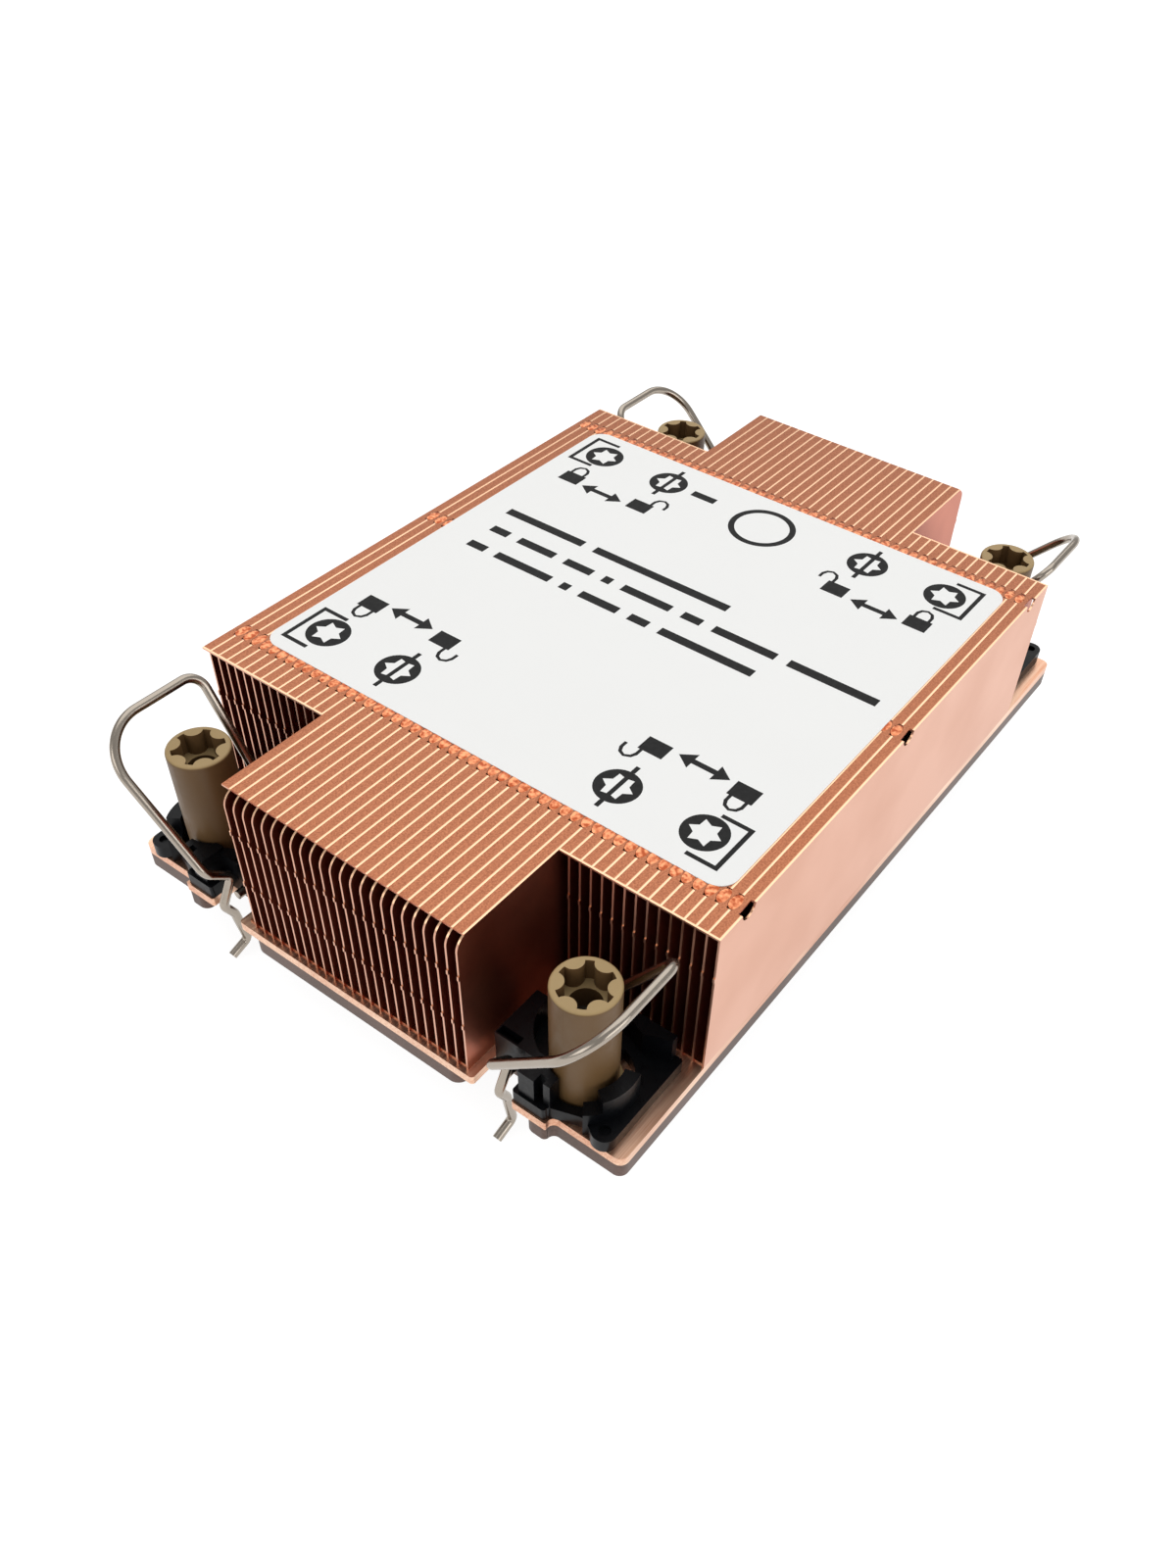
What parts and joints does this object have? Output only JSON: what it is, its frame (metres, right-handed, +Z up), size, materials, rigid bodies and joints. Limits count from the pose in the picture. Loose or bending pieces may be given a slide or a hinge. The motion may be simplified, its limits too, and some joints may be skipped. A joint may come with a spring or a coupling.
{
  "type": "passive server cpu heatsink",
  "caption": "Low copper fin-stack heatsink for a rack server processor, with captive corner nuts, black retainers and swinging anti-tilt wires.",
  "frame": {"origin": "centre of the flat underside of the lower base plate, the face that meets the processor lid", "axes": "+X along the fins and the air flow, +Y across the fins, +Z up from the base to the label"},
  "size_m": [0.1214, 0.0782, 0.0337],
  "materials": {
    "nickel_grey_copper": "dull, slightly tarnished copper plate with milled edges",
    "bare_copper": "bare brushed copper sheet",
    "fin_copper": "bare rolled copper sheet, satin",
    "label_film": "white printed polyester film",
    "black_plastic": "black glass-filled moulding, satin",
    "tan_plastic": "natural tan high-temperature plastic",
    "insert_steel": "plated steel insert",
    "spring_steel": "bright stainless spring wire"
  },
  "bodies": {
    "heatsink": {"base_lower_plate": "nickel_grey_copper", "base_upper_plate": "bare_copper", "fins_left": "fin_copper", "fins_centre": "fin_copper", "fins_right": "fin_copper", "label": "label_film", "retainer_front_left": "black_plastic", "retainer_front_right": "black_plastic", "retainer_rear_left": "black_plastic", "retainer_rear_right": "black_plastic"},
    "nut_front_left_turning": {"nut_front_left": "tan_plastic", "nut_insert_front_left": "insert_steel"},
    "bail_front_left": {"bail_wire_front_left": "spring_steel"},
    "nut_front_right_turning": {"nut_front_right": "tan_plastic", "nut_insert_front_right": "insert_steel"},
    "bail_front_right": {"bail_wire_front_right": "spring_steel"},
    "nut_rear_left_turning": {"nut_rear_left": "tan_plastic", "nut_insert_rear_left": "insert_steel"},
    "bail_rear_left": {"bail_wire_rear_left": "spring_steel"},
    "nut_rear_right_turning": {"nut_rear_right": "tan_plastic", "nut_insert_rear_right": "insert_steel"},
    "bail_rear_right": {"bail_wire_rear_right": "spring_steel"}
  },
  "joints": [
    {"name": "nut_spin_front_left", "type": "hinge", "parent": "heatsink", "child": "nut_front_left_turning", "pos_m": [-0.051, 0.0295, 0.01], "axis": [0, 0, 1], "continuous": true},
    {"name": "bail_swing_front_left", "type": "hinge", "parent": "heatsink", "child": "bail_front_left", "pos_m": [-0.05, 0.022, 0.00415], "axis": [-1, 0, 0], "range_deg": [-21.6, 16.4]},
    {"name": "nut_spin_front_right", "type": "hinge", "parent": "heatsink", "child": "nut_front_right_turning", "pos_m": [-0.051, -0.0295, 0.01], "axis": [0, 0, 1], "continuous": true},
    {"name": "bail_swing_front_right", "type": "hinge", "parent": "heatsink", "child": "bail_front_right", "pos_m": [-0.05, -0.022, 0.00415], "axis": [1, 0, 0], "range_deg": [-26.1, 11.9]},
    {"name": "nut_spin_rear_left", "type": "hinge", "parent": "heatsink", "child": "nut_rear_left_turning", "pos_m": [0.051, 0.0295, 0.01], "axis": [0, 0, 1], "continuous": true},
    {"name": "bail_swing_rear_left", "type": "hinge", "parent": "heatsink", "child": "bail_rear_left", "pos_m": [0.05, 0.022, 0.00415], "axis": [-1, 0, 0], "range_deg": [-31, 7]},
    {"name": "nut_spin_rear_right", "type": "hinge", "parent": "heatsink", "child": "nut_rear_right_turning", "pos_m": [0.051, -0.0295, 0.01], "axis": [0, 0, 1], "continuous": true},
    {"name": "bail_swing_rear_right", "type": "hinge", "parent": "heatsink", "child": "bail_rear_right", "pos_m": [0.05, -0.022, 0.00415], "axis": [1, 0, 0], "range_deg": [-27, 11]}
  ]
}
